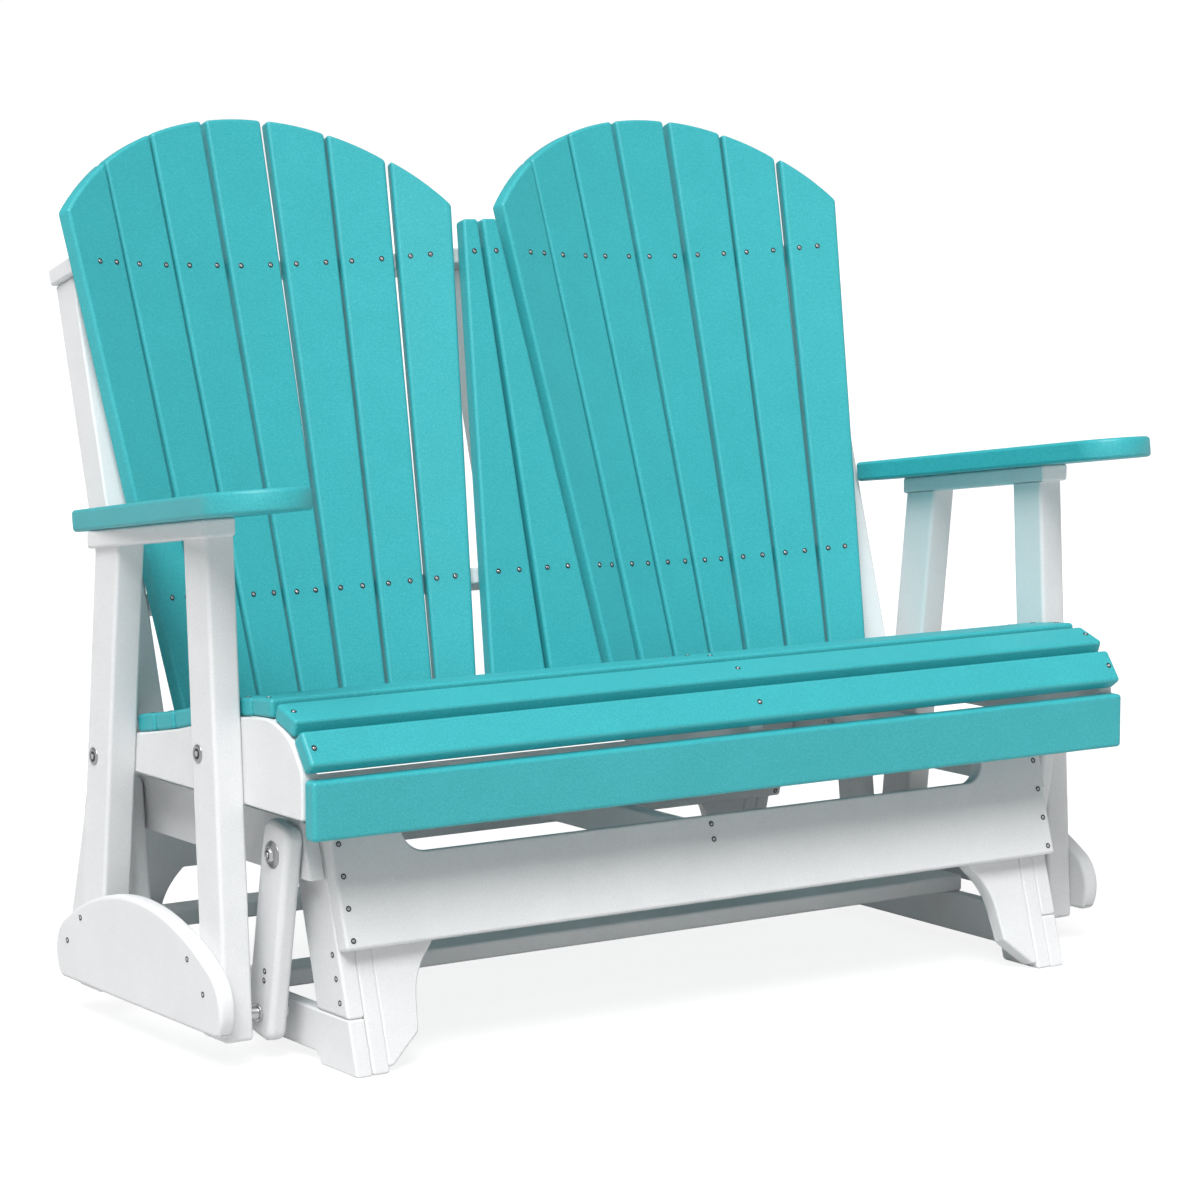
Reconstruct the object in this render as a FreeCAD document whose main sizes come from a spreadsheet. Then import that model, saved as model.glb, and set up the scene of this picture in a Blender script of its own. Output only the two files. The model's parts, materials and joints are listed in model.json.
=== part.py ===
import FreeCAD, Part
import math
import os
import Sketcher

# Two-seat adirondack glider: a floor base, four swing links hung from it and a
# seat that hangs on the links.  Left and right are as seen from the front, so
# left is -X.  -Y is the front and +Z is up.  Millimetres.  The origin is on the
# floor under the middle of the whole piece.

V = FreeCAD.Vector
doc = FreeCAD.newDocument("glider")

# ------------------------------------------------------------------ dimensions
DIMS = [
    ("board", 22.2, "thickness of the plank stock"),
    ("post_thick", 38.1, "thickness of the post stock"),
    ("front_post_depth", 58.0, "front arm post, front to back"),
    ("rear_post_depth", 60.0, "rear arm post, front to back"),
    ("shift", 63.2, "from the drawing's depth zero back to the origin"),
    ("seat_length", 1219.2, "length of the seat slats and of the apron"),
    ("slat_width", 46.2, "width of a seat slat"),
    ("apron_height", 69.7, "height of the front apron"),
    ("apron_low", 289.0, "underside of the front apron"),
    ("apron_front", -330.0, "front face of the apron"),
    ("panel_out", 612.5, "outer face of a seat side panel"),
    ("panel_low", 310.7, "underside of a seat side panel"),
    ("arm_rail_width", 44.0, "width of an arm rail"),
    ("arm_rail_in", 613.0, "inner face of an arm rail"),
    ("arm_rail_height", 22.4, "height of an arm rail, measured upright"),
    ("arm_thick", 27.0, "thickness of an arm"),
    ("arm_slope", 0.1325, "fall of the arm per unit of depth"),
    ("fan_centre", 321.4, "middle of each fan"),
    ("back_tilt", 16.6, "lean of the back, degrees"),
    ("back_depth", 187.5, "back datum, depth"),
    ("back_height", 506.5, "back datum, height"),
    ("arch_radius", 365.0, "radius of the fan's top"),
    ("arch_top", 627.3, "top of the fan above the lower rail"),
    ("slat_foot", -165.0, "foot of the back slats below the lower rail"),
    ("row_up", 430.1, "upper rail above the lower rail"),
    ("fill_front", 41.9, "front of the filler slats before the fan's middle"),
    ("fill_lean", 0.0188, "lean of the filler slats against the fans"),
    ("fill_split", 3.4, "half the gap between the filler slats"),
    ("fill_top", 475.0, "top of the filler slats above the lower rail"),
    ("back_post_depth", 52.0, "back post, front to back"),
    ("back_post_front", 9.0, "front of the back posts before the fan's middle"),
    ("leg_slope", 0.30, "lean of the legs"),
    ("leg_front", -303.4, "front edge of the front legs on the floor"),
    ("leg_rear", 385.4, "front edge of the rear legs on the floor"),
    ("leg_width", 71.0, "depth of a leg, measured level"),
    ("leg_out", 539.7, "outer face of the outer leg strips"),
    ("base_top", 277.0, "top of the legs"),
    ("runner_top", 65.0, "top of the runners"),
    ("foot_rise", 14.0, "height of the feet under the runners"),
    ("rail_low", 223.8, "underside of the hanger rails"),
    ("rail_height", 68.4, "height of the hanger rails"),
    ("stretcher_depth", 50.0, "depth of the low stretchers"),
    ("spine_height", 44.0, "height of the centre spine"),
    ("link_thick", 24.5, "thickness of a swing link"),
    ("link_width", 60.0, "width of a swing link"),
    ("link_in", 563.5, "inner face of a swing link"),
    ("hang_height", 252.5, "height of the upper pivots"),
    ("low_height", 57.0, "height of the lower pivots"),
    ("hang_front", -194.0, "front upper pivot"),
    ("hang_rear", 200.0, "rear upper pivot"),
    ("low_front", -157.0, "front lower pivot"),
    ("low_rear", 176.0, "rear lower pivot"),
    ("bolt_r", 6.35, "radius of the pivot bolts"),
    ("run_fit", 0.05, "radial clearance of a pivot"),
    ("free_fit", 2.2, "radial clearance of the rear lower pivots"),
    ("spacer_r", 7.8, "outer radius of the pivot spacers"),
    ("washer_r", 16.5, "radius of the washers on the upper pivots"),
    ("seat_bolt_r", 5.0, "radius of the seat bolts"),
    ("screw_r", 2.1, "radius of a screw's shank"),
    ("screw_head_r", 3.6, "radius of a screw's head"),
    ("screw_length", 42.0, "length of a screw"),
    ("short_screw", 18.0, "length of a screw in a swing link"),
    ("play", 0.3, "clearance between pieces that meet"),
]
sheet = doc.addObject("Spreadsheet::Sheet", "Dim")
sheet.Label = "Dim"
for row, (name, value, note) in enumerate(DIMS, start=1):
    sheet.set("A%d" % row, note)
    sheet.set("B%d" % row, str(value))
    sheet.setAlias("B%d" % row, name)
doc.recompute()


def D(name):
    return float(getattr(sheet, name))


NODES = []          # objects that become files
T = D("board")
G = D("play")
NIL = 0.05          # the hairline between boards that are fastened together
PIVOT = (D("bolt_r") + D("run_fit"), "Dim.bolt_r + Dim.run_fit")
LOOSE = (D("bolt_r") + D("free_fit"), "Dim.bolt_r + Dim.free_fit")
SEATED = (D("seat_bolt_r") + D("run_fit"), "Dim.seat_bolt_r + Dim.run_fit")


def W(x, y, z):
    """A point of the drawing in the part's own frame."""
    return V(x, y - D("shift"), z)


def frame_placement(o, ex, ey):
    ex = V(ex).normalize()
    ey = V(ey).normalize()
    ez = ex.cross(ey).normalize()
    m = FreeCAD.Matrix(ex.x, ey.x, ez.x, o.x,
                       ex.y, ey.y, ez.y, o.y,
                       ex.z, ey.z, ez.z, o.z,
                       0, 0, 0, 1)
    return FreeCAD.Placement(m)


def plane(body, role):
    for f in body.Origin.OriginFeatures:
        if f.Role == role:
            return f


def plate(label, outline, thick, o, ex, ey, holes=(), bind=None, node=True):
    """A board cut to an outline: a sketch padded by its thickness.
    outline is a list of points; ("arc", mid, end) is an arc from the point before.
    holes is a list of (x, y, (radius, expression)); bind ties an edge to a cell."""
    body = doc.addObject("PartDesign::Body", label)
    body.Label = label
    sk = body.newObject("Sketcher::SketchObject", label + "_profile")
    sk.AttachmentSupport = [(plane(body, "XY_Plane"), "")]
    sk.MapMode = "FlatFace"
    geo, straight = [], []
    last = V(outline[0][0], outline[0][1], 0)
    for item in outline[1:] + [outline[0]]:
        if item[0] == "arc":
            mid, end = V(item[1][0], item[1][1], 0), V(item[2][0], item[2][1], 0)
            geo.append(Part.Arc(last, mid, end))
            straight.append(False)
            last = end
        else:
            p = V(item[0], item[1], 0)
            if (p - last).Length > 1e-6:
                geo.append(Part.LineSegment(last, p))
                straight.append(True)
            last = p
    edges = len(geo)
    for x, y, (r, expr) in holes:
        geo.append(Part.Circle(V(x, y, 0), V(0, 0, 1), r))
    sk.addGeometry(geo, False)
    for i in range(edges):
        j = (i + 1) % edges
        if straight[i] and straight[j]:
            sk.addConstraint(Sketcher.Constraint("Coincident", i, 2, j, 1))
    for i, (x, y, (r, expr)) in enumerate(holes):
        c = sk.addConstraint(Sketcher.Constraint("Radius", edges + i, r))
        sk.setExpression("Constraints[%d]" % c, expr)
    for index, expr in (bind or {}).items():
        length = (geo[index].EndPoint - geo[index].StartPoint).Length
        c = sk.addConstraint(Sketcher.Constraint("Distance", index, length))
        sk.setExpression("Constraints[%d]" % c, expr)
    pad = body.newObject("PartDesign::Pad", label + "_pad")
    pad.Profile = sk
    pad.Length = D(thick)
    pad.setExpression("Length", "Dim." + thick)
    body.Tip = pad
    body.Placement = frame_placement(o, ex, ey)
    if node:
        NODES.append(body)
    return body


def side(label, outline, thick, x0, holes=(), bind=None, node=True):
    """A board whose outline is drawn in depth and height, thick along X from x0."""
    return plate(label, outline, thick, W(x0, 0, 0), V(0, 1, 0), V(0, 0, 1), holes, bind, node)


def box(label, size, placement, node=True):
    """A square-cut board; length, width and height are bound to the sheet."""
    b = doc.addObject("Part::Box", label)
    b.Label = label
    for prop, expr in zip(("Length", "Width", "Height"), size):
        b.setExpression(prop, expr)
    b.Placement = placement
    if node:
        NODES.append(b)
    return b


def at(x, y, z):
    return FreeCAD.Placement(W(x, y, z), FreeCAD.Rotation())


def group(label, members):
    g = doc.addObject("Part::Compound", label)
    g.Label = label
    g.Links = members
    NODES.append(g)
    return g


def solids(label, shapes):
    f = doc.addObject("Part::Feature", label)
    f.Label = label
    f.Shape = Part.makeCompound(shapes)
    f.Placement = FreeCAD.Placement()
    NODES.append(f)
    return f


SIDES = ((-1, "left"), (1, "right"))


def start_x(sign, inner, thick):
    """Low X of a board of this thickness whose inner face is at +-inner."""
    return -inner - thick if sign < 0 else inner


# ---------------------------------------------------------------- the seat slats
# middle of each top face in depth and height, and its rise towards the back
SLATS = [(-314.0, 395.6, 54.0), (-268.0, 432.0, 19.2),
         (-209.7, 441.0, -4.0), (-161.1, 435.5, -7.5), (-112.5, 427.5, -11.0), (-63.9, 416.0, -13.5),
         (-15.3, 403.8, -13.0), (33.3, 394.2, -10.5), (81.9, 385.8, -9.5)]


def slat_axes(a):
    a = math.radians(a)
    return (math.cos(a), math.sin(a)), (-math.sin(a), math.cos(a))


def underside(slat, drop):
    """Front and back corners of the plane this far under a slat's top."""
    cy, cz, a = slat
    d, n = slat_axes(a)
    h = D("slat_width") / 2.0
    return [(cy + e * h * d[0] - drop * n[0], cz + e * h * d[1] - drop * n[1]) for e in (-1, 1)]


def seat_slat(label, slat, node):
    lo = underside(slat, T)[0]
    d, n = slat_axes(slat[2])
    return box(label, ("Dim.seat_length", "Dim.slat_width", "Dim.board"),
               frame_placement(W(-D("seat_length") / 2, lo[0], lo[1]), V(1, 0, 0), V(0, d[0], d[1])), node)


seat_slat("seat_nose_slat", SLATS[0], True)
group("seat_slats", [seat_slat("seat_slat_%d" % i, s, False) for i, s in enumerate(SLATS[1:], start=2)])
box("front_apron", ("Dim.seat_length", "Dim.board", "Dim.apron_height"),
    at(-D("seat_length") / 2, D("apron_front"), D("apron_low")))

# ------------------------------------------------- side panels and centre support
# the top edge runs a hair under the slats, from underside to underside
P_FRONT = D("apron_front") + T + NIL
P_LOW = D("panel_low")
corners = [underside(s, T + G) for s in SLATS]
first = corners[0]
k = (P_FRONT - first[0][0]) / (first[1][0] - first[0][0])
TOP = [(P_FRONT, first[0][1] + k * (first[1][1] - first[0][1]))]
for a, b in zip(corners[:-1], corners[1:]):
    (p0, p1), (q0, q1) = a, b
    # corner where the two undersides' lines cross
    d0, d1 = (p1[0] - p0[0], p1[1] - p0[1]), (q1[0] - q0[0], q1[1] - q0[1])
    det = d0[0] * -d1[1] + d1[0] * d0[1]
    t = ((q0[0] - p0[0]) * -d1[1] + d1[0] * (q0[1] - p0[1])) / det
    c = (p0[0] + t * d0[0], p0[1] + t * d0[1])
    if abs(c[0] - (p1[0] + q0[0]) / 2) < 8:
        TOP.append(c)
    else:
        TOP.extend([p1, q0])
TOP.append(corners[-1][1])

SEAT_BOLTS = [(-131.0, 369.0), (139.0, 329.0)]


def eased(pts, index, trim):
    """The outline with one corner rounded, starting this far from it."""
    p, c, n = [V(q[-1][0], q[-1][1], 0) if q[0] == "arc" else V(q[0], q[1], 0) for q in pts[index - 1:index + 2]]
    u, w = (p - c).normalize(), (n - c).normalize()
    angle = u.getAngle(w) / 2.0
    r = trim * math.tan(angle)
    mid = c + (u + w).normalize() * (r / math.sin(angle) - r)
    a, b = c + u * trim, c + w * trim
    return pts[:index] + [(a.x, a.y), ("arc", (mid.x, mid.y), (b.x, b.y))] + pts[index + 1:]


panel = ([(P_FRONT, P_LOW)] + TOP +
         [(140.0, TOP[-1][1] - 7.0), (205.0, 345.0), (215.0, 334.0), (215.0, P_LOW)])
for index, trim in ((3, 18.0), (2, 18.0), (1, 12.0)):     # the round of the seat's front
    panel = eased(panel, index, trim)
group("seat_sides", [
    side("seat_side_" + name, panel, "board", start_x(sign, D("panel_out") - T, T),
         [(y, z, SEATED) for y, z in SEAT_BOLTS], None, False) for sign, name in SIDES])

# ------------------------------------------------------------------ the back frame
TH = math.radians(D("back_tilt"))
SN, CN = math.sin(TH), math.cos(TH)


def B(x, s, n):
    """A point of the back: across, along the slats, forward of the fan's middle."""
    return W(x, D("back_depth") + s * SN - n * CN, D("back_height") + s * CN + n * SN)


def to_back(y, z):
    dy, dz = y - D("back_depth"), z - D("back_height")
    return dy * SN + dz * CN, -dy * CN + dz * SN


def depth_at(n, z):
    """Depth of the plane n at height z."""
    s = (z - D("back_height") - n * SN) / CN
    return D("back_depth") + s * SN - n * CN


ES, EN, EX = V(0, SN, CN), V(0, -CN, SN), V(1, 0, 0)
PN1 = D("back_post_front")
PN0 = PN1 - D("back_post_depth")

# the centre support has a foot that laps the side of the middle post
foot_y = [depth_at(PN0, z) for z in (338.0, P_LOW)]
cut_y = 99.0
run = [p for p in TOP if p[0] < cut_y]
nxt = [p for p in TOP if p[0] >= cut_y][0]
k = (cut_y - run[-1][0]) / (nxt[0] - run[-1][0])
side("seat_centre_support",
     [(P_FRONT, P_LOW)] + run + [(cut_y, run[-1][1] + k * (nxt[1] - run[-1][1])), (cut_y, 338.0),
                                 (foot_y[0], 338.0), (foot_y[1], P_LOW)], "board", D("post_thick") / 2 + NIL)

# ------------------------------------------------------ arm posts, arms, foot panels
ARM_Z, ARM_Y, SLOPE = 647.5, -162.0, D("arm_slope")
POST_FOOT = 33.2


def arm_under(y):
    return ARM_Z - SLOPE * (y - ARM_Y)


def rail_under(y):
    return arm_under(y) - D("arm_rail_height")


def front_line(z):
    return -190.9 + (z - POST_FOOT) * 33.9 / 590.3


def rear_line(z):
    return 133.2 - 0.1165 * (z - POST_FOOT)


def post_outline(line, depth):
    zf, zb = 620.0, 610.0
    for _ in range(20):
        zf = rail_under(line(zf)) - NIL
        zb = rail_under(line(zb) + depth) - NIL
    f = POST_FOOT
    return [(line(f), f), (line(f) + depth, f), (line(zb) + depth, zb), (line(zf), zf)]


POST_IN = D("panel_out") + NIL
POST_OUT = POST_IN + D("post_thick")
arm_rails = []
for sign, name in SIDES:
    x0 = start_x(sign, POST_IN, D("post_thick"))
    side("front_arm_post_" + name, post_outline(front_line, D("front_post_depth")), "post_thick", x0,
         [SEAT_BOLTS[0] + (SEATED,), (D("low_front"), D("low_height"), PIVOT)], {0: "Dim.front_post_depth"})
    side("rear_arm_post_" + name, post_outline(rear_line, D("rear_post_depth")), "post_thick", x0,
         [SEAT_BOLTS[1] + (SEATED,), (D("low_rear"), D("low_height"), PIVOT)], {0: "Dim.rear_post_depth"})
    # a rail lies on the posts and carries the arm
    y0, y1 = -162.0, 137.0
    arm_rails.append(side("arm_rail_" + name, [(y0, rail_under(y0)), (y1, rail_under(y1)),
                                               (y1, arm_under(y1) - NIL), (y0, arm_under(y0) - NIL)],
                          "arm_rail_width", start_x(sign, D("arm_rail_in"), D("arm_rail_width")), node=False))
    # half-round foot panel over the post feet
    side("foot_panel_" + name,
         [(-209.0, 45.5), (197.0, 45.5), ("arc", (209.3, 84.0), (183.0, 122.5)),
          ("arc", (-4.5, 177.0), (-192.0, 122.5)), ("arc", (-218.6, 84.0), (-209.0, 45.5))],
         "board", start_x(sign, POST_OUT + NIL, T))

group("arm_rails", arm_rails)

# arms: a paddle with a wide round front, flaring outwards from a small back end
ANG = math.atan(SLOPE)
for sign, name in SIDES:
    def A(a, y):
        return (sign * a, (y - ARM_Y) / math.cos(ANG))
    q = math.sqrt(0.5)
    ri, ro, rb, front = 50.0, 72.0, 25.0, -320.5
    # the outer edge runs straight into the round of the front
    px, py, ox, oy = 653.0, 200.0 - rb, 702.0 - ro, front + ro
    reach = math.hypot(ox - px, oy - py)
    turn = math.atan2(oy - py, ox - px) + math.asin(ro / reach)
    run = math.sqrt(reach * reach - ro * ro)
    tx, ty = px + run * math.cos(turn), py + run * math.sin(turn)
    half = (math.atan2(ty - oy, tx - ox) - math.pi / 2) / 2
    pts = [A(580.0, front + ri), A(580.0, 200.0), A(628.0, 200.0),
           ("arc", A(628.0 + rb * q, 200.0 - rb + rb * q), A(653.0, 200.0 - rb)), A(tx, ty),
           ("arc", A(ox + ro * math.cos(half), oy + ro * math.sin(half)), A(ox, front)),
           ("arc", A(580.0 + ri - ri * q, front + ri - ri * q), A(580.0, front + ri))]
    plate("arm_" + name, pts, "arm_thick", W(0, ARM_Y, ARM_Z), V(1, 0, 0), V(0, math.cos(ANG), -math.sin(ANG)))

# ------------------------------------------------------------------------ the fans
# slats of a fan, counted from the middle one.  Across from the fan's middle: inner and
# outer edge at the lower rail, each with its growth along the slat.  Then the inner
# edge's place forward with its growth, and the turn of the face in degrees.
FAN = [((-30.2, -0.0165), (30.2, 0.0165), (0.0, 0.0), 0.0),
       ((35.0, 0.0212), (98.6, 0.0478), (1.8, 0.0), 5.7),
       ((102.6, 0.0467), (165.2, 0.0722), (8.8, 0.0031), 9.95),
       ((170.5, 0.0695), (229.0, 0.1055), (18.9, 0.0193), 15.5)]


def slat_corner(k, outer, s):
    """Front corner of slat k at height s, across and forward."""
    inner_edge, outer_edge, ahead, turn = FAN[k]
    u0, u1 = [e[0] + e[1] * s for e in (inner_edge, outer_edge)]
    n = ahead[0] + ahead[1] * s
    return (u1, n + (u1 - u0) * math.tan(math.radians(turn))) if outer else (u0, n)


def arch(u):
    r = D("arch_radius")
    return D("arch_top") - r + math.sqrt(r * r - u * u)


def top_of(k, outer):
    s = D("row_up")
    for _ in range(60):
        s = arch(abs(slat_corner(k, outer, s)[0]))
    return s


def fan_slat(label, centre_x, k, way):
    """One tapered slat of a fan; its front face is flat, its top follows the arch."""
    s0 = D("slat_foot")

    def P(u, s, n):
        return B(centre_x + way * u, s, n)

    def C(outer, s):
        u, n = slat_corner(k, outer, s)
        return P(u, s, n)
    st_in, st_out = top_of(k, False), top_of(k, True)
    a, b, c, d = C(False, s0), C(True, s0), C(True, st_out), C(False, st_in)
    um = (slat_corner(k, False, st_in)[0] + slat_corner(k, True, st_out)[0]) / 2.0
    sm = arch(abs(um))
    pin, pout = slat_corner(k, False, sm), slat_corner(k, True, sm)
    t = (um - pin[0]) / (pout[0] - pin[0])
    mid = P(um, sm, pin[1] + t * (pout[1] - pin[1]))
    if way < 0:
        a, b, c, d = b, a, d, c
    ex = (b - a).normalize()
    ez = ex.cross(d - a).normalize()       # out of the front face
    ey = ez.cross(ex).normalize()

    def L(p):
        r = p - a
        return (r.dot(ex), r.dot(ey))
    return plate(label, [L(a), L(b), L(c), ("arc", L(mid), L(d))], "board", a - ez * T, ex, ey)


for sign, fan in SIDES:
    for i in range(7):
        k = abs(i - 3)
        fan_slat("%s_back_slat_%d" % (fan, i + 1), sign * D("fan_centre"), k, -1 if i < 3 else 1)

# the two flat filler slats between the fans


def fill_edge(s):
    return 74.4 - 0.1007 * s


def fill_face(s):
    return D("fill_front") + D("fill_lean") * s


FES = (ES + EN * D("fill_lean")).normalize()
FEN = EX.cross(FES)
fillers = []
for sign, name in SIDES:
    s0, s1, e = D("slat_foot"), D("fill_top"), D("fill_split")
    pts = [(sign * e, s0), (sign * fill_edge(s0), s0), (sign * fill_edge(s1), s1), (sign * e, s1)]
    fillers.append(plate("filler_slat_" + name, pts, "board", B(0, 0, fill_face(0)) - FEN * T, EX, FES, node=False))
group("filler_slats", fillers)

# back posts: they stand on the seat frame and carry the rails
RAIL = T / 2.0
POST_S1 = D("row_up") - RAIL - NIL
low = P_LOW + 1.0
foot_s = [(low - D("back_height") - n * SN) / CN for n in (PN0, PN1)]
outer_in = D("panel_out") - T - NIL - D("post_thick")
bs, bn = to_back(*SEAT_BOLTS[1])
for name, x0 in (("left", -outer_in - D("post_thick")), ("centre", -D("post_thick") / 2), ("right", outer_in)):
    pts = [(-PN0, foot_s[0]), (-PN0, POST_S1), (-PN1, POST_S1), (-PN1, foot_s[1])]
    plate("back_post_" + name, pts, "post_thick", B(x0, 0, 0), -EN, ES,
          [] if name == "centre" else [(-bn, bs, SEATED)], {1: "Dim.back_post_depth"})


def rail_edge(s, centre_x):
    """Front edge of a rail behind one fan, from left to right, a hair behind the slats."""
    half = []
    for k in range(4):
        q = math.radians(FAN[k][3])
        for outer in ((True,) if k == 0 else (False, True)):
            u = slat_corner(k, outer, s)[0]
            n = slat_corner(k, outer, s - RAIL)[1]
            half.append((u + (T + 0.5) * math.sin(q), n - (T + 0.5) * math.cos(q)))
    return [(centre_x - u, n) for u, n in reversed(half)] + [(centre_x + u, n) for u, n in half]


def clip(line, x):
    """The part of a line left of x, ended on x."""
    out = [p for p in line if p[0] < x - 0.2]
    rest = [p for p in line if p[0] >= x - 0.2]
    a, b = (out[-1], rest[0]) if rest else (out[-2], out[-1])
    return out + [(x, a[1] + (x - a[0]) / (b[0] - a[0]) * (b[1] - a[1]))]


def rail_plate(label, s, pts, node=True):
    return plate(label, pts, "board", B(0, s + RAIL, 0), EX, EN, node=node)


def fill_line(s):
    """The rail's front behind a filler slat: where it ends across, and forward."""
    return fill_edge(s) + 4.0, fill_face(s - RAIL) - T / FES.dot(ES) - 0.3


FC = D("fan_centre")
s = D("row_up")
end = 597.0
line = [(0.0, fill_line(s)[1]), fill_line(s)] + clip(rail_edge(s, FC), end)
rail_plate("upper_back_rail", s, [(-end, PN0), (end, PN0)] + line[::-1] + [(-x, n) for x, n in line[1:]])
in_x, out_x = D("post_thick") / 2 + NIL, outer_in - NIL
line = [(in_x, fill_line(0.0)[1]), fill_line(0.0)] + clip(rail_edge(0.0, FC), out_x)
lower = [(in_x, PN0), (out_x, PN0)] + line[::-1]
group("lower_back_rails", [
    rail_plate("lower_back_rail_left", 0.0, [(-x, n) for x, n in lower], False),
    rail_plate("lower_back_rail_right", 0.0, lower, False)])

# ------------------------------------------------------------------------ the base
LS, BT, LW = D("leg_slope"), D("base_top"), D("leg_width")
BETA = math.atan(LS)
XO = D("leg_out")
RT, FR = D("runner_top"), D("foot_rise")


def leg_f(z):
    return D("leg_front") + LS * z


def leg_r(z):
    return D("leg_rear") - LS * z


f0, r0 = leg_f(0), leg_r(0) + LW
runner = [(f0, 0), (f0 + 86, 0), (f0 + 88.5, 8), (f0 + 97, FR),
          (r0 - 97, FR), (r0 - 88.5, 8), (r0 - 86, 0), (r0, 0),
          (leg_r(RT) + LW, RT), (leg_f(RT), RT)]
for sign, name in SIDES:
    side("runner_" + name, runner, "board", start_x(sign, XO - T, T))


def leg_outline(fn, z0):
    return [(fn(z0), z0), (fn(z0) + LW, z0), (fn(BT) + LW, BT), (fn(BT), BT)]


HANG = {"front": D("hang_front"), "rear": D("hang_rear")}
LOW = {"front": D("low_front"), "rear": D("low_rear")}
HZ, LZ = D("hang_height"), D("low_height")
for where, fn in (("front", leg_f), ("rear", leg_r)):
    holes = [(HANG[where], HZ, PIVOT)] if where == "front" else []
    for sign, name in SIDES:
        tag = "%s_leg_%s" % (where, name)
        group(tag, [
            side(tag + "_outer", leg_outline(fn, RT + NIL), "board", start_x(sign, XO - T, T),
                 holes, {0: "Dim.leg_width"}, False),
            side(tag + "_inner", leg_outline(fn, 0.0), "board", start_x(sign, XO - 2 * T - NIL, T),
                 holes, {0: "Dim.leg_width"}, False)])

RL, RH = D("rail_low"), D("rail_height")
for sign, name in SIDES:
    side("hanger_rail_" + name, [(leg_f(RL), RL), (350.0, RL), (350.0 - LS * RH, RL + RH), (leg_f(RL + RH), RL + RH)],
         "board", start_x(sign, XO + NIL, T), [(HANG["front"], HZ, PIVOT), (HANG["rear"], HZ, PIVOT)])

# cross boards on the front edges of the legs, two of one kind, cut lower between their ends
half = XO - 0.2
UPF, UPR = V(0, math.sin(BETA), math.cos(BETA)), V(0, -math.sin(BETA), math.cos(BETA))
NF, NR = EX.cross(UPF), EX.cross(UPR)
zf, zr = 141.2, 142.5
h = (BT - 147.6) / math.cos(BETA)
cross_board = [(-half, 0), (half, 0), (half, h), (442.0, h), ("arc", (433.0, h - 20.6), (412.0, h - 29.0)),
               (-412.0, h - 29.0), ("arc", (-433.0, h - 20.6), (-442.0, h)), (-half, h)]
plate("front_base_board", cross_board, "board", W(0, leg_f(zf) - NIL, zf), EX, UPF)
plate("rear_base_board", cross_board, "board", W(0, leg_r(zr) - NIL, zr), EX, UPR)

# shaped gussets beside the inner leg strips, under the cross boards
XG = XO - 2 * T - 2 * NIL
for where, fn, up, nrm in (("front", leg_f, UPF, NF), ("rear", leg_r, UPR, NR)):
    members = []
    for sign, name in SIDES:
        def Q(x, z):
            return (sign * x, z / math.cos(BETA))
        pts = [Q(XG, 8.0), Q(487.0, 9.5), Q(448.0, 42.0), Q(444.0, 72.0),
               ("arc", Q(434.0, 110.0), Q(415.0, 135.0)), Q(402.0, 152.0), Q(402.0, 205.0), Q(XG, 205.0)]
        members.append(plate("%s_gusset_%s" % (where, name), pts, "board",
                             W(0, fn(0.0), 0.0) - nrm * T, EX, up, node=False))
    group(where + "_gussets", members)

box("front_stretcher", ("2 * Dim.leg_out", "Dim.stretcher_depth", "Dim.board"), at(-XO, -92.0, RT + NIL))
box("rear_stretcher", ("2 * Dim.leg_out", "Dim.stretcher_depth", "Dim.board"), at(-XO, 295.0, RT + NIL))

sp0, sp1 = 190.5, 190.5 + D("spine_height")
cut = T / math.cos(BETA) + 0.2
side("centre_spine", [(leg_f(sp0) + 0.1, sp0), (leg_r(sp0) - cut, sp0),
                      (leg_r(sp1) - cut, sp1), (leg_f(sp1) + 0.1, sp1)], "board", -T / 2)

# ----------------------------------------------------------------------- the links


def link(label, where, low_hole, x0):
    d = V(0, LOW[where] - HANG[where], LZ - HZ)
    span = d.Length
    w = D("link_width") / 2.0
    c = 16.0
    q = c * (1 - math.sqrt(0.5))
    a, b = -38.0, span + 30.0
    pts = [(a + c, -w), (b - c, -w), ("arc", (b - q, -w + q), (b, -w + c)),
           (b, w - c), ("arc", (b - q, w - q), (b - c, w)),
           (a + c, w), ("arc", (a + q, w - q), (a, w - c)),
           (a, -w + c), ("arc", (a + q, -w + q), (a + c, -w))]
    ex = V(d).normalize()
    return plate(label, pts, "link_thick", W(x0, HANG[where], HZ), ex, EX.cross(ex),
                 [(0, 0, PIVOT), (span, 0, low_hole)])


for sign, name in SIDES:
    x0 = start_x(sign, D("link_in"), D("link_thick"))
    link("front_link_" + name, "front", PIVOT, x0)
    link("rear_link_" + name, "rear", LOOSE, x0)

# ------------------------------------------------------------------------ hardware


def cyl(x0, x1, y, z, r):
    a, b = min(x0, x1), max(x0, x1)
    return Part.makeCylinder(r, b - a, W(a, y, z), EX)


def hexa(x0, x1, y, z, flat):
    a, b = min(x0, x1), max(x0, x1)
    r = flat / math.sqrt(3.0)
    pts = [W(a, y + r * math.cos(math.radians(60 * i + 30)), z + r * math.sin(math.radians(60 * i + 30)))
           for i in range(6)]
    return Part.Face(Part.makePolygon(pts + [pts[0]])).extrude(V(b - a, 0, 0))


def one(parts):
    return parts[0].multiFuse(parts[1:]).removeSplitter().Solids[0]


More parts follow.
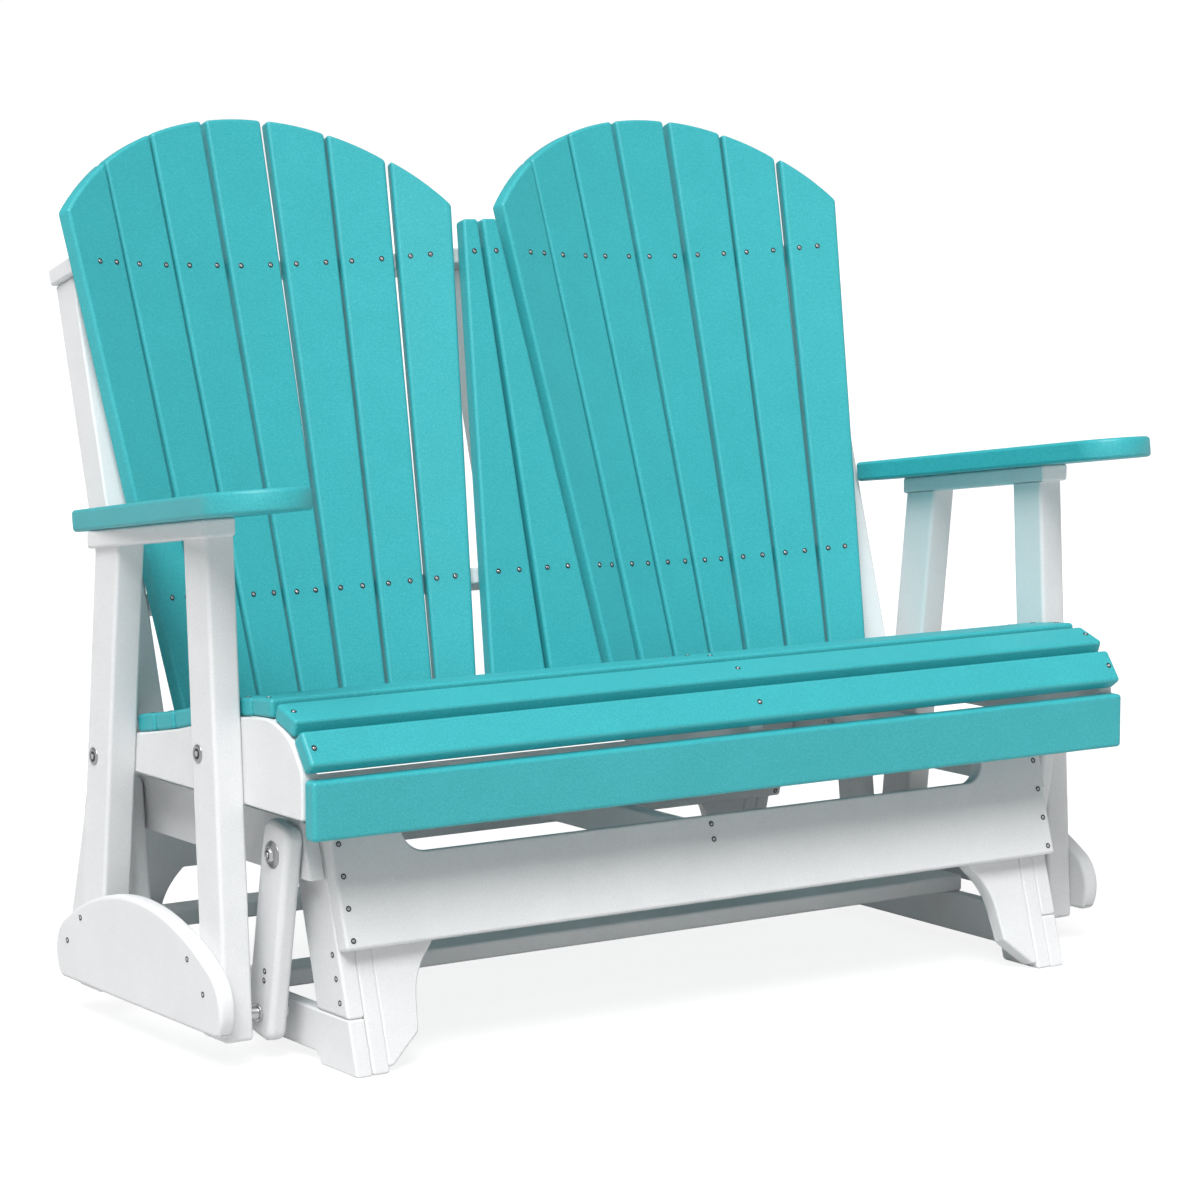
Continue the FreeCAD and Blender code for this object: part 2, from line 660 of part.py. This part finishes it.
br = D("bolt_r")
LINK_OUT = D("link_in") + D("link_thick")
hangers, pivots, bolts = [], [], []
for sign, name in SIDES:
    for where in ("front", "rear"):
        y = HANG[where]
        inside = XO - 2 * T - NIL if where == "front" else XO + NIL
        hangers.append(one([
            cyl(sign * (LINK_OUT + 8.6), sign * (inside - 10.0), y, HZ, br),
            cyl(sign * (LINK_OUT + 0.3), sign * (LINK_OUT + 2.8), y, HZ, D("washer_r")),
            hexa(sign * (LINK_OUT + 2.7), sign * (LINK_OUT + 7.3), y, HZ, 19.0),
            hexa(sign * (inside - NIL), sign * (inside - 11.0), y, HZ, 19.0)]))
        y = LOW[where]
        pivots.append(one([
            cyl(sign * (POST_OUT - 0.5), sign * (D("link_in") - 10.0), y, LZ, br),
            hexa(sign * (D("link_in") - 0.4), sign * (D("link_in") - 11.0), y, LZ, 19.0)]))
        ring = one([cyl(sign * (POST_IN - NIL), sign * (LINK_OUT + 0.4), y, LZ, D("spacer_r")),
                    cyl(sign * (LINK_OUT + 3.4), sign * (LINK_OUT + 0.4), y, LZ, 11.0)])
        pivots.append(ring.cut(cyl(sign * (POST_IN + 1), sign * (LINK_OUT - 1), y, LZ, PIVOT[0])).Solids[0])
    for i, (y, z) in enumerate(SEAT_BOLTS):
        inner = D("panel_out") - T if i == 0 else outer_in
        bolts.append(one([
            cyl(sign * (POST_OUT + 2.0), sign * (inner - 8.0), y, z, D("seat_bolt_r")),
            cyl(sign * (POST_OUT + NIL), sign * (POST_OUT + 2.0), y, z, 11.0),
            cyl(sign * (POST_OUT + 1.9), sign * (POST_OUT + 4.0), y, z, 8.0),
            Part.makeCone(8.0, 5.0, 1.4, W(sign * (POST_OUT + 3.99), y, z), V(sign, 0, 0)),
            hexa(sign * (inner - NIL), sign * (inner - 8.5), y, z, 15.0)]))
solids("hanger_bolts", hangers)
solids("lower_pivot_bolts", pivots)
solids("seat_bolts", bolts)


def screw(p, out, length="screw_length"):
    """A wood screw: a low round head on the surface and a shank driven inwards."""
    out = V(out).normalize()
    hr, r, ln = D("screw_head_r"), D("screw_r"), D(length)
    head = Part.makeCone(hr, hr * 0.72, 1.1, p, out)
    rim = Part.makeCylinder(hr, 0.5, p - out * 0.45, out)
    shank = Part.makeCylinder(r, ln - 8, p - out * (ln - 8), out)
    tip = Part.makeCone(r * 0.2, r, 8.0, p - out * ln, out)
    return one([shank, tip, rim, head])


# two rows of screws in the fans and fillers
seat = []
ROWS = [(D("row_up"), [(-21.6, 21.6), (58.4, 100.4), (136.5, 178.0), (215.8, 242.4)]),
        (0.0, [(-13.8, 13.8), (49.2, 80.1), (116.3, 146.2), (183.2, 207.4)])]
for sign in (-1, 1):
    cx = sign * FC
    for s, row in ROWS:
        for k in range(4):
            a, b, q = slat_corner(k, False, s), slat_corner(k, True, s), math.radians(FAN[k][3])
            for way in ((1,) if k == 0 else (1, -1)):
                for u in row[k]:
                    n = a[1] + (u - a[0]) / (b[0] - a[0]) * (b[1] - a[1])
                    out = EX * (-way * math.sin(q)) + EN * math.cos(q)
                    seat.append(screw(B(cx + way * u, s, n), out))
    for s, xs in ((D("row_up"), (17.2,)), (0.0, (22.1, 54.6))):
        for x in xs:
            seat.append(screw(B(sign * x, s, fill_face(s)), FEN))
# the seat slats, into the two sides and the centre support
for cy, cz, a in SLATS:
    d, n = slat_axes(a)
    for x in (-599.3, 30.2, 599.3):
        seat.append(screw(W(x, cy, cz), V(0, n[0], n[1])))
# the foot panels
for sign in (-1, 1):
    for y, z in ((-139.6, 128.4), (-177.3, 93.4), (138.4, 129.9), (175.3, 95.1)):
        seat.append(screw(W(sign * (POST_OUT + NIL + T), y, z), V(sign, 0, 0)))
solids("seat_screws", seat)

base = []
for fn, nrm in ((leg_f, NF), (leg_r, NR)):
    def on_board(x, z):
        return W(x, fn(z) - NIL, z) + nrm * T
    for z in (151.1, 187.5, 223.9, 260.3):
        for x in (-529.4, 529.4):
            base.append(screw(on_board(x, z), nrm))
    for z in (213.0, 231.2):        # into the spine's two ends, so from behind at the rear
        base.append(screw(on_board(0.0, z), nrm) if fn is leg_f else screw(W(0.0, fn(z) - NIL, z), -nrm))
for sign in (-1, 1):
    for z in (136.9, 109.5, 82.4):
        base.append(screw(W(sign * XO, leg_f(z) + 14, z), V(sign, 0, 0)))
        base.append(screw(W(sign * XO, leg_r(z) + 14, z), V(sign, 0, 0)))
solids("base_screws", base)
# two short screws side by side in each front link
for sign, name in SIDES:
    solids("front_link_screws_" + name,
           [screw(W(sign * LINK_OUT, -172.0, z), V(sign, 0, 0), "short_screw") for z in (98.0, 110.0)])

# ------------------------------------------------------------------ check and write
doc.recompute()
bad = []
for obj in doc.Objects:
    if any(word in st for st in obj.State for word in ("Invalid", "Error")):
        bad.append("%s %s" % (obj.Label, obj.State))
for obj in NODES:
    if obj.Shape.isNull() or not obj.Shape.isValid() or not obj.Shape.Solids:
        bad.append("%s shape" % obj.Label)
labels = [obj.Label for obj in NODES]
if len(set(labels)) != len(labels) or len(labels) > 60:
    bad.append("labels %d" % len(labels))
if bad:
    raise RuntimeError("; ".join(bad))
os.makedirs("parts", exist_ok=True)
whole = FreeCAD.BoundBox()
for obj in NODES:
    obj.Shape.exportStep("parts/%s.step" % obj.Label)
    whole.add(obj.Shape.BoundBox)
print("nodes", len(NODES), "box", whole)
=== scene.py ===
import bpy
import bmesh
import json
import math
from mathutils import Matrix, Vector


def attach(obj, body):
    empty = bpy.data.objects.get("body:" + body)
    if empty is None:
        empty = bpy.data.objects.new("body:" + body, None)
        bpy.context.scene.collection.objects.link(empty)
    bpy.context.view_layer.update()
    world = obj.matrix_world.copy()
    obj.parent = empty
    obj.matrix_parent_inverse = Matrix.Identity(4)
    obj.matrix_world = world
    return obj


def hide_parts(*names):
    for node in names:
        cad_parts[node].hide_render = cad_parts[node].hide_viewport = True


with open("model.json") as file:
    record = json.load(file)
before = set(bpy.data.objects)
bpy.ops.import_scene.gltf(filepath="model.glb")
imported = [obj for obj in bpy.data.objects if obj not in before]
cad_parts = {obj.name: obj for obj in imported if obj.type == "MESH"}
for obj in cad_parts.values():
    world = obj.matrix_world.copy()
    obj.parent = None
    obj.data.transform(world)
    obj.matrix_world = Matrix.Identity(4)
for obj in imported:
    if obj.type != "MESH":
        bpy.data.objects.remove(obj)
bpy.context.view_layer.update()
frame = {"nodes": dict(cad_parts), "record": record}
scene = bpy.context.scene

# ------------------------------------------------------------------ measurements
SHIFT = 0.0632                     # drawing depth to row frame, metres


def W(x, y, z):
    return Vector((x / 1000.0, y / 1000.0 - SHIFT, z / 1000.0))


# --------------------------------------------------------------------- materials


def new_material(name):
    m = bpy.data.materials.new(name)
    m.use_nodes = True
    nt = m.node_tree
    nt.nodes.clear()
    out = nt.nodes.new("ShaderNodeOutputMaterial")
    bsdf = nt.nodes.new("ShaderNodeBsdfPrincipled")
    nt.links.new(bsdf.outputs["BSDF"], out.inputs["Surface"])
    return m, nt, bsdf


def srgb(r, g, b):
    def f(c):
        c /= 255.0
        return c / 12.92 if c <= 0.04045 else ((c + 0.055) / 1.055) ** 2.4
    return (f(r), f(g), f(b), 1.0)


def noise(nt, coord, scale, detail, rough=0.55):
    n = nt.nodes.new("ShaderNodeTexNoise")
    n.inputs["Scale"].default_value = scale
    n.inputs["Detail"].default_value = detail
    n.inputs["Roughness"].default_value = rough
    nt.links.new(coord, n.inputs["Vector"])
    return n


def ramp(nt, fac, stops):
    r = nt.nodes.new("ShaderNodeValToRGB")
    e = r.color_ramp.elements
    while len(e) < len(stops):
        e.new(0.5)
    for el, (pos, col) in zip(e, stops):
        el.position = pos
        el.color = col
    nt.links.new(fac, r.inputs["Fac"])
    return r


def lumber(name, dark, mid, light, rough, bump):
    """Solid-coloured plastic lumber: pale and dark flecks of the pellets, slow cloudy
    variation along the board and a fine pebbled skin."""
    m, nt, bsdf = new_material(name)
    tc = nt.nodes.new("ShaderNodeTexCoord")
    obj = tc.outputs["Object"]
    fleck = noise(nt, obj, 620.0, 2.0, 0.6)
    cloud = noise(nt, obj, 14.0, 3.0)
    r1 = ramp(nt, fleck.outputs["Fac"], [(0.30, dark), (0.5, mid), (0.70, light)])
    r2 = ramp(nt, cloud.outputs["Fac"], [(0.3, (0.955, 0.955, 0.955, 1)), (0.7, (1.0, 1.0, 1.0, 1))])
    mix = nt.nodes.new("ShaderNodeMix")
    mix.data_type = "RGBA"
    mix.blend_type = "MULTIPLY"
    mix.inputs["Factor"].default_value = 1.0
    nt.links.new(r1.outputs["Color"], mix.inputs["A"])
    nt.links.new(r2.outputs["Color"], mix.inputs["B"])
    nt.links.new(mix.outputs["Result"], bsdf.inputs["Base Color"])
    rr = ramp(nt, fleck.outputs["Fac"], [(0.25, (rough - 0.07,) * 3 + (1,)), (0.75, (rough + 0.07,) * 3 + (1,))])
    nt.links.new(rr.outputs["Color"], bsdf.inputs["Roughness"])
    pebble = noise(nt, obj, 950.0, 2.0, 0.5)
    bp = nt.nodes.new("ShaderNodeBump")
    bp.inputs["Strength"].default_value = bump
    bp.inputs["Distance"].default_value = 0.0006
    nt.links.new(pebble.outputs["Fac"], bp.inputs["Height"])
    nt.links.new(bp.outputs["Normal"], bsdf.inputs["Normal"])
    bsdf.inputs["IOR"].default_value = 1.5
    return m


def steel(name, low, high, rough):
    """Plain stainless steel with fine turning marks."""
    m, nt, bsdf = new_material(name)
    tc = nt.nodes.new("ShaderNodeTexCoord")
    n = noise(nt, tc.outputs["Object"], 900.0, 2.0)
    r = ramp(nt, n.outputs["Fac"], [(0.3, low), (0.7, high)])
    nt.links.new(r.outputs["Color"], bsdf.inputs["Base Color"])
    rr = ramp(nt, n.outputs["Fac"], [(0.3, (rough - 0.06,) * 3 + (1,)), (0.7, (rough + 0.08,) * 3 + (1,))])
    nt.links.new(rr.outputs["Color"], bsdf.inputs["Roughness"])
    bsdf.inputs["Metallic"].default_value = 1.0
    return m


TURQ = lumber("turquoise_lumber", srgb(48, 163, 170), srgb(56, 173, 180), srgb(70, 185, 192), 0.46, 0.10)
WHITE = lumber("white_lumber", srgb(224, 225, 226), srgb(229, 230, 231), srgb(235, 236, 237), 0.48, 0.08)
STEEL = steel("stainless_steel", (0.50, 0.50, 0.51, 1), (0.72, 0.72, 0.73, 1), 0.30)
BOLT = steel("bolt_steel", (0.36, 0.36, 0.37, 1), (0.54, 0.54, 0.55, 1), 0.34)
# painted shade: near-black steel laid on screw rims, drive holes and bolt grooves to stand for the shade in those
# recesses
RECESS_SHADE = steel("painted_recess_shade", (0.060, 0.060, 0.064, 1), (0.110, 0.110, 0.115, 1), 0.50)

slot_of = {s["node"]: s["material_slot"] for s in frame["record"]["subparts"]}
LOOK = {"turquoise_lumber": TURQ, "white_lumber": WHITE, "stainless_steel": STEEL}


def soften(o, width, segments=4, clamp=False):
    """Routed-over edges: tidy the triangles, then round every hard edge."""
    w = o.modifiers.new("weld", "WELD")
    w.merge_threshold = 0.00002
    d = o.modifiers.new("flats", "DECIMATE")
    d.decimate_type = "DISSOLVE"
    d.angle_limit = math.radians(0.6)
    b = o.modifiers.new("round", "BEVEL")
    b.width = width
    b.segments = segments
    b.limit_method = "ANGLE"
    b.angle_limit = math.radians(38)
    b.use_clamp_overlap = clamp
    b.harden_normals = True
    b.miter_outer = "MITER_ARC"


ROUND = {"front_arm_post": 0.0050, "rear_arm_post": 0.0050, "foot_panel": 0.0058, "arm_rail": 0.0040,
         "front_link": 0.0080, "rear_link": 0.0080, "runner": 0.0030, "front_gusset": 0.0030,
         "rear_gusset": 0.0030}


def rounding(name):
    for key, r in ROUND.items():
        if name.startswith(key):
            return r
    return 0.0048 if LOOK[slot_of[name]] is TURQ else 0.0040


for name, o in frame["nodes"].items():
    mat = LOOK[slot_of[name]]
    if not o.data.materials:
        o.data.materials.append(mat)
    for i in range(len(o.data.materials)):
        o.data.materials[i] = mat
    if slot_of[name] == "stainless_steel":
        if name == "lower_pivot_bolts":
            soften(o, 0.0007, 2, True)
        continue
    soften(o, rounding(name))

# ------------------------------------------------------------------ bored boards
# Boards with bolt holes are drawn again from their own outlines, without the holes that the
# bolts fill, so that their faces stay flat; a post's top end stays square under its rail.


def outlines(mesh):
    """Outer outline of each solid's low-X face, with that solid's extent along X."""
    bm = bmesh.new()
    bm.from_mesh(mesh)
    bmesh.ops.remove_doubles(bm, verts=bm.verts, dist=2e-6)
    bm.normal_update()
    out, seen = [], set()
    for v in bm.verts:
        if v in seen:
            continue
        seen.add(v)
        heap, solid = [v], []
        while heap:
            a = heap.pop()
            solid.append(a)
            for e in a.link_edges:
                c = e.other_vert(a)
                if c not in seen:
                    seen.add(c)
                    heap.append(c)
        x0, x1 = min(a.co.x for a in solid), max(a.co.x for a in solid)
        cap = {f for a in solid for f in a.link_faces if f.normal.x < -0.999}
        rim = {e for f in cap for e in f.edges if sum(g in cap for g in e.link_faces) == 1}
        loops = []
        while rim:
            e = rim.pop()
            loop, tail = [e.verts[0], e.verts[1]], e.verts[1]
            while True:
                step = next((g for g in tail.link_edges if g in rim), None)
                if step is None:
                    break
                rim.discard(step)
                tail = step.other_vert(tail)
                loop.append(tail)
            loops.append([(a.co.y, a.co.z) for a in loop[:-1]])
        loop = max(loops, key=lambda q: max(b[0] for b in q) - min(b[0] for b in q))
        kept = []
        for i, b in enumerate(loop):
            a, c = loop[i - 1], loop[(i + 1) % len(loop)]
            u, w = Vector((b[0] - a[0], b[1] - a[1])), Vector((c[0] - b[0], c[1] - b[1]))
            if u.angle(w) > 0.002:
                kept.append(b)
        out.append((x0, x1, kept))
    bm.free()
    return out


def plain_board(node, body, width, square_above=None):
    bm = bmesh.new()
    weight = bm.edges.layers.float.new("bevel_weight_edge")
    for x0, x1, loop in outlines(frame["nodes"][node].data):
        low = [bm.verts.new((x0, y, z)) for y, z in loop]
        high = [bm.verts.new((x1, y, z)) for y, z in loop]
        bm.faces.new(low)
        bm.faces.new(high)
        for i in range(len(loop)):
            k = (i + 1) % len(loop)
            bm.faces.new((low[i], low[k], high[k], high[i]))
    bmesh.ops.recalc_face_normals(bm, faces=bm.faces)
    for f in bm.faces:
        f.smooth = True
    for e in bm.edges:
        if e.calc_face_angle() > math.radians(38):
            if square_above is not None and min(v.co.z for v in e.verts) > square_above:
                e.smooth = False
            else:
                e[weight] = 1.0
    me = bpy.data.meshes.new("plain_" + node)
    bm.to_mesh(me)
    bm.free()
    me.materials.append(LOOK[slot_of[node]])
    o = bpy.data.objects.new("plain_" + node, me)
    scene.collection.objects.link(o)
    b = o.modifiers.new("round", "BEVEL")
    b.width = width
    b.segments = 4
    b.limit_method = "WEIGHT"
    b.use_clamp_overlap = False
    b.harden_normals = True
    b.miter_outer = "MITER_ARC"
    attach(o, body)
    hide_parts(node)


plain_board("seat_sides", "seat", 0.0030)
for hand in ("left", "right"):
    for where in ("front", "rear"):
        plain_board("%s_arm_post_%s" % (where, hand), "seat", 0.0050, 0.3)
        plain_board("%s_link_%s" % (where, hand), "%s_link_%s_body" % (where, hand), 0.0080)

# ------------------------------------------------------------------------ screws
# One turned shape per screw: a rim painted dark for the shade of its countersink, a bright head
# with a round drive hole whose bottom is painted dark for its shade, and the shank in the board.
# Radius and height above the board, millimetres; the shank's point comes before these.
PROFILE = [(2.1, -0.2), (3.5, -0.2), (3.6, 0.25), (3.45, 0.48), (3.1, 0.52),
           (2.6, 0.30), (1.85, 0.22), (1.8, 0.55), (1.6, 0.82), (1.1, 0.98), (0.75, 0.98), (0.62, 0.55)]
# the bands before this ring, the shank and the rim, take the painted shade
BRIGHT_FROM = 8          # rings from here on belong to the head
TURNS = 18


def islands(mesh):
    """The separate solids of a mesh, as lists of points."""
    bm = bmesh.new()
    bm.from_mesh(mesh)
    bmesh.ops.remove_doubles(bm, verts=bm.verts, dist=1e-6)
    bm.verts.ensure_lookup_table()
    seen, out = set(), []
    for v in bm.verts:
        if v.index in seen:
            continue
        seen.add(v.index)
        heap, pts = [v], []
        while heap:
            a = heap.pop()
            pts.append(a.co.copy())
            for e in a.link_edges:
                c = e.other_vert(a)
                if c.index not in seen:
                    seen.add(c.index)
                    heap.append(c)
        out.append(pts)
    bm.free()
    return out


def screw_axis(pts):
    """Where a screw's head stands on its board, and which way it points."""
    mid = sum(pts, Vector()) / len(pts)
    tip = max(pts, key=lambda p: (p - mid).length)
    far = max(pts, key=lambda p: (p - tip).length)
    way = (far - tip).normalized()
    top = max(p.dot(way) for p in pts)
    low = min(p.dot(way) for p in pts)
    head = [p for p in pts if p.dot(way) > top - 0.0009]
    end = [p for p in pts if p.dot(way) < low + 0.0006]
    h, e = sum(head, Vector()) / len(head), sum(end, Vector()) / len(end)
    way = (h - e).normalized()
    top = max(p.dot(way) for p in pts)
    return h + way * (top - 0.0011 - h.dot(way)), way


def turned_screws(name, node, body, length=42.0):
    profile = [(0.35, -length), (2.1, 8.0 - length)] + PROFILE
    bm = bmesh.new()
    for pts in islands(frame["nodes"][node].data):
        p, way = screw_axis(pts)
        side = way.orthogonal().normalized()
        up = way.cross(side)
        rings = []
        for r, h in profile:
            rings.append([bm.verts.new(p + way * (h / 1000.0) + (side * math.cos(a) + up * math.sin(a)) * (r / 1000.0))
                          for a in (2 * math.pi * i / TURNS for i in range(TURNS))])
        for j in range(len(rings) - 1):
            for i in range(TURNS):
                k = (i + 1) % TURNS
                f = bm.faces.new((rings[j][i], rings[j][k], rings[j + 1][k], rings[j + 1][i]))
                # bands below the head take the painted shade; the head is bright steel
                f.material_index = 0 if j >= BRIGHT_FROM else 1
                f.smooth = True
        # the drive hole's bottom and the shank's point take the painted shade
        f = bm.faces.new(rings[-1])
        f.material_index = 1
        f = bm.faces.new(rings[0][::-1])
        f.material_index = 1
    me = bpy.data.meshes.new(name)
    bm.to_mesh(me)
    bm.free()
    me.materials.append(STEEL)
    me.materials.append(RECESS_SHADE)
    o = bpy.data.objects.new(name, me)
    scene.collection.objects.link(o)
    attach(o, body)
    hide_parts(node)
    return o


turned_screws("turned_seat_screws", "seat_screws", "seat")
turned_screws("turned_base_screws", "base_screws", "base")
for hand in ("left", "right"):
    turned_screws("turned_link_screws_" + hand, "front_link_screws_" + hand, "front_link_%s_body" % hand, 18.0)

# ------------------------------------------------------------------------- bolts
# Bolts along X, turned the same way from the outer end inwards: distance from that end, radius
# (half the width across flats where the section is a hexagon), hexagon or not, and the metal of
# the band that follows (0 bright, 1 near black as painted shade in a recess, 2 dull).  Millimetres.
LOCK_NUT = [(0.05, 0.6, False, 0), (0.10, 2.0, False, 0), (0.45, 3.1, False, 0), (1.10, 3.7, False, 1),
            (2.30, 3.9, False, 1), (2.30, 4.9, False, 0), (1.55, 5.3, False, 0), (1.35, 6.0, False, 0),
            (1.65, 7.0, False, 0), (2.40, 7.8, False, 0), (3.30, 8.3, False, 0), (3.60, 8.6, False, 0),
            (4.10, 9.5, True, 0), (5.75, 9.5, True, 2)]
COACH_HEAD = [(2.60, 0.5, False, 0), (2.66, 2.4, False, 0), (3.05, 3.6, False, 1), (3.90, 4.1, False, 1),
              (3.90, 6.4, False, 2), (3.50, 6.9, False, 2), (3.42, 7.8, False, 2)]


def turned_bolts(name, node, body, outer, washer, shank, flat, head):
    bm = bmesh.new()
    for pts in islands(frame["nodes"][node].data):
        way = 1.0 if sum(p.x for p in pts) > 0 else -1.0
        near, far = min(abs(p.x) for p in pts) * 1000.0, max(abs(p.x) for p in pts) * 1000.0
        y = (min(p.y for p in pts) + max(p.y for p in pts)) / 2.0
        z = (min(p.z for p in pts) + max(p.z for p in pts)) / 2.0
        bands = outer + [(d, r, False, 2) for d, r in washer] + [(washer[-1][0], shank, False, 0)]
        bands = [(far - d, r, h, m) for d, r, h, m in bands]
        bands += [(near + head, shank, False, 0), (near + head, flat / 2.0, True, 0),
                  (near + 0.9, flat / 2.0, True, 0), (near, flat * 0.45, False, 0)]
        rings = []
        for x, r, six, m in bands:
            ring = []
            for i in range(36):
                a = 2 * math.pi * i / 36
                q = r / math.cos((a + math.pi / 6) % (math.pi / 3) - math.pi / 6) if six else r
                ring.append(bm.verts.new((way * x / 1000.0, y + q * math.cos(a) / 1000.0, z + q * math.sin(a) / 1000.0)))
            rings.append(ring)
        for j in range(len(rings) - 1):
            for i in range(36):
                k = (i + 1) % 36
                f = bm.faces.new((rings[j][i], rings[j][k], rings[j + 1][k], rings[j + 1][i]))
                # band metal 1 is the painted shade of the grooves in the lock nut and the coach head
                f.material_index = bands[j][3]
                f.smooth = True
        bm.faces.new(rings[0])
        bm.faces.new(rings[-1])
    bmesh.ops.recalc_face_normals(bm, faces=bm.faces)
    me = bpy.data.meshes.new(name)
    bm.to_mesh(me)
    bm.free()
    me.set_sharp_from_angle(angle=math.radians(38))
    for mat in (STEEL, RECESS_SHADE, BOLT):
        me.materials.append(mat)
    o = bpy.data.objects.new(name, me)
    scene.collection.objects.link(o)
    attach(o, body)
    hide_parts(node)
    return o


turned_bolts("turned_hanger_bolts", "hanger_bolts", "base", LOCK_NUT,
             [(5.80, 10.6), (6.10, 12.4), (6.65, 14.4), (7.30, 15.8), (7.90, 16.4), (8.29, 16.45)], 6.3, 19.0, 10.9)
turned_bolts("turned_seat_bolts", "seat_bolts", "seat", COACH_HEAD,
             [(3.50, 8.8), (3.80, 9.8), (4.30, 10.6), (4.90, 10.98), (5.36, 10.98)], 4.95, 15.0, 8.4)

# ------------------------------------------------------------------------- stage
def floor_sheet(name, height, low, high, glow):
    """A wide plain floor with a barely uneven tone."""
    m, nt, bsdf = new_material(name)
    tc = nt.nodes.new("ShaderNodeTexCoord")
    fn = noise(nt, tc.outputs["Object"], 3.0, 2.0)
    fr = ramp(nt, fn.outputs["Fac"], [(0.3, (low,) * 3 + (1,)), (0.7, (high,) * 3 + (1,))])
    nt.links.new(fr.outputs["Color"], bsdf.inputs["Base Color"])
    bsdf.inputs["Roughness"].default_value = 0.9
    bsdf.inputs["Emission Color"].default_value = (1.0, 1.0, 1.0, 1.0)
    bsdf.inputs["Emission Strength"].default_value = glow
    bm = bmesh.new()
    bmesh.ops.create_grid(bm, x_segments=1, y_segments=1, size=60.0)
    me = bpy.data.meshes.new(name)
    bm.to_mesh(me)
    bm.free()
    me.materials.append(m)
    o = bpy.data.objects.new(name, me)
    o.location.z = height
    scene.collection.objects.link(o)
    return o


# the white floor that is seen, and under it the duller one that throws light back up
floor = floor_sheet("floor", 0.0, 0.24, 0.26, 0.84)
floor.visible_diffuse = False
floor.visible_glossy = False
floor.visible_shadow = False
bounce = floor_sheet("floor_bounce", -0.002, 0.59, 0.61, 0.0)
bounce.visible_camera = False

# a bright band of backdrop all round, and a dimmer ceiling
world = bpy.data.worlds.new("studio")
scene.world = world
world.use_nodes = True
wt = world.node_tree
bg = wt.nodes["Background"]
bg.inputs["Strength"].default_value = 1.0
wc = wt.nodes.new("ShaderNodeTexCoord")
split = wt.nodes.new("ShaderNodeSeparateXYZ")
wt.links.new(wc.outputs["Generated"], split.inputs["Vector"])
rise = wt.nodes.new("ShaderNodeMapRange")
rise.inputs["From Min"].default_value = -1.0
rise.inputs["From Max"].default_value = 1.0
wt.links.new(split.outputs["Z"], rise.inputs["Value"])
wr = ramp(wt, rise.outputs["Result"], [(0.0, (0.20, 0.20, 0.20, 1)), (0.47, (0.20, 0.20, 0.20, 1)),
                                       (0.487, (1.02, 1.02, 1.02, 1)), (0.53, (1.02, 1.02, 1.02, 1)),
                                       (0.57, (0.24, 0.24, 0.24, 1)), (1.0, (0.26, 0.26, 0.26, 1))])
wt.links.new(wr.outputs["Color"], bg.inputs["Color"])


def sun(name, direction, strength, spread):
    light = bpy.data.lights.new(name, "SUN")
    light.energy = strength
    light.angle = math.radians(spread)
    o = bpy.data.objects.new(name, light)
    scene.collection.objects.link(o)
    o.rotation_euler = Vector(direction).to_track_quat("-Z", "Y").to_euler()
    return o


# one large soft light from the upper left front
sun("key", (0.385, 0.402, -0.83), 3.78, 38.0)

cam = bpy.data.cameras.new("camera")
cam.sensor_width = 36.0
cam.lens = 113.917
co = bpy.data.objects.new("camera", cam)
co.location = (-2.72302, -4.01982 - SHIFT, 1.08990)
co.rotation_euler = (math.pi / 2 - 0.12262964, 0.0, -0.59646549)
scene.collection.objects.link(co)
scene.camera = co
scene.view_settings.view_transform = "Standard"
